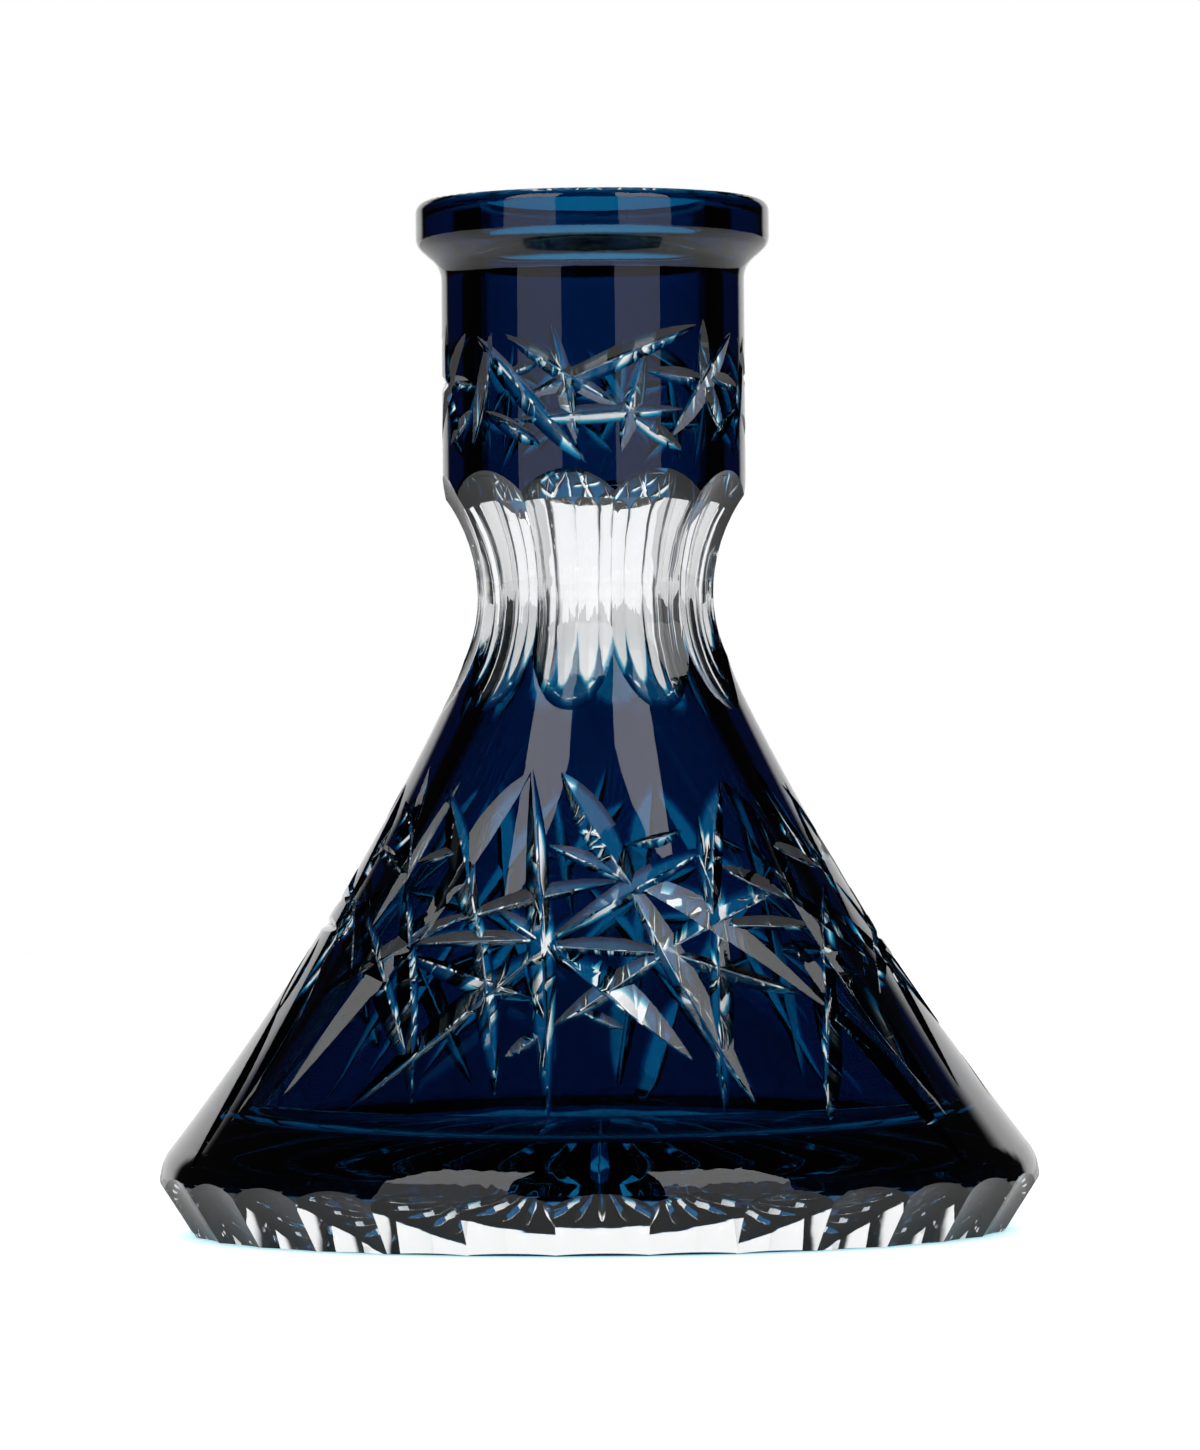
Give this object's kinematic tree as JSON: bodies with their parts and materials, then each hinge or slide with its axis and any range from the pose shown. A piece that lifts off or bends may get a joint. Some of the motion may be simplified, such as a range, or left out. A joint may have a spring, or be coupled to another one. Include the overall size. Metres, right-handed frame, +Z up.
{
  "type": "cut crystal vase",
  "caption": "Flared vase of thick clear crystal under a cut blue layer: wide cone foot, fluted clear waist, straight collar and rolled lip, open bore from the top.",
  "frame": {"origin": "centre of the ring it stands on, on its own axis", "axes": "+Z up along the vase's axis, -Y to the front"},
  "size_m": [0.205, 0.2048, 0.24],
  "materials": {
    "clear_crystal": "cut and polished clear lead crystal",
    "blue_crystal": "thin polished petrol-blue crystal layer fused on the clear glass"
  },
  "bodies": {
    "root": {"crystal_body": "clear_crystal", "neck_casing": "blue_crystal", "cone_casing": "blue_crystal", "foot_casing": "blue_crystal"}
  },
  "joints": []
}
